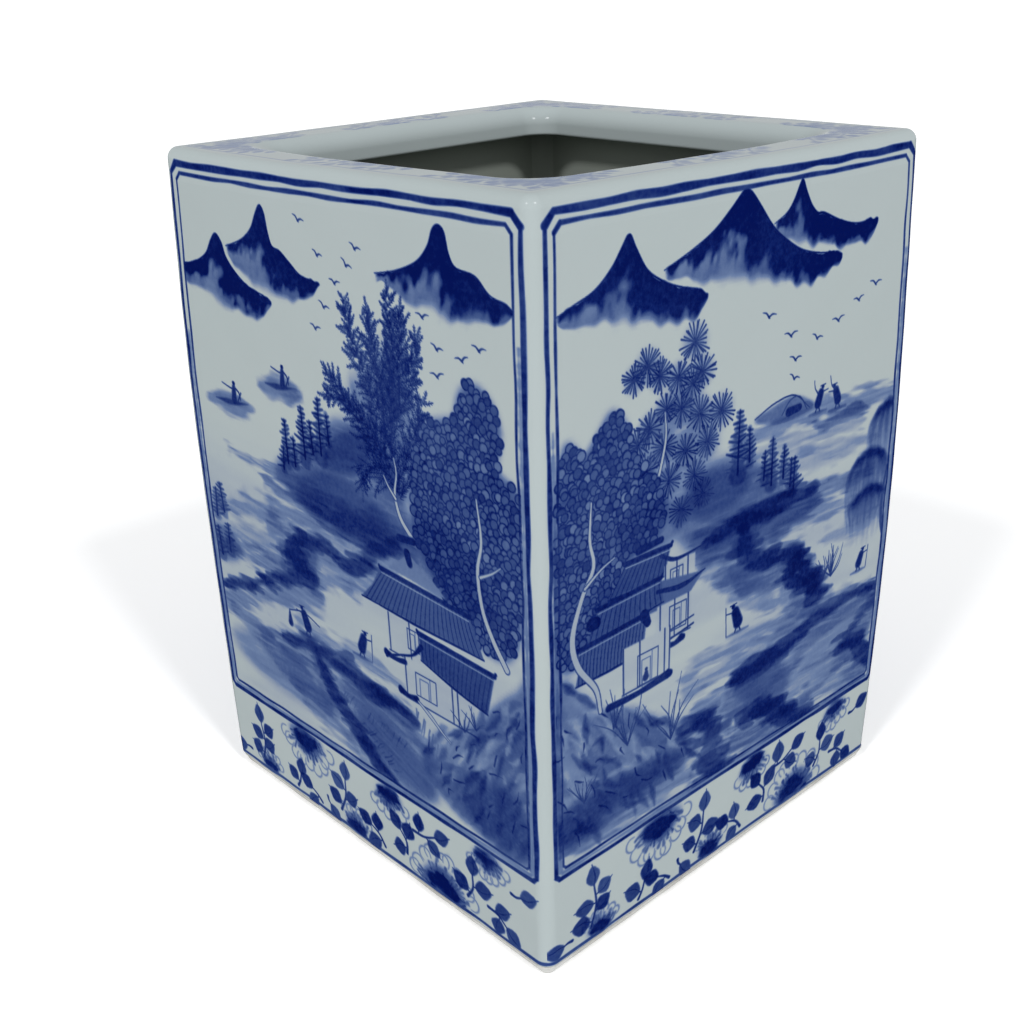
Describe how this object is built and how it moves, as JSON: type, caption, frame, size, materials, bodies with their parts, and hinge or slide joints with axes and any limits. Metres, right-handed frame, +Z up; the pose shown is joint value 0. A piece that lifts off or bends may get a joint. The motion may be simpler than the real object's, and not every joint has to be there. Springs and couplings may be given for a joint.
{
  "type": "brush pot",
  "caption": "Square slab-built porcelain pot with a wide flat rim around a rounded square mouth, open at the top, for standing writing brushes in.",
  "frame": {"origin": "centre of the standing face, on the surface the pot stands on", "axes": "+Z up out of the mouth, +X to the right of the front wall, -Y out of the front wall"},
  "size_m": [0.125, 0.125, 0.17],
  "materials": {
    "glaze": "glossy pale grey-green glaze over underglaze cobalt painting",
    "bare_clay": "unglazed fired porcelain, smooth and matt"
  },
  "bodies": {
    "root": {"rim_plate": "glaze", "floor_slab": "glaze", "front_wall": "glaze", "right_wall": "glaze", "back_wall": "glaze", "left_wall": "glaze", "front_foot_strip": "bare_clay", "right_foot_strip": "bare_clay", "back_foot_strip": "bare_clay", "left_foot_strip": "bare_clay", "front_floor_coil": "glaze", "right_floor_coil": "glaze", "back_floor_coil": "glaze", "left_floor_coil": "glaze", "front_right_corner_coil": "glaze", "back_right_corner_coil": "glaze", "back_left_corner_coil": "glaze", "front_left_corner_coil": "glaze"}
  },
  "joints": []
}
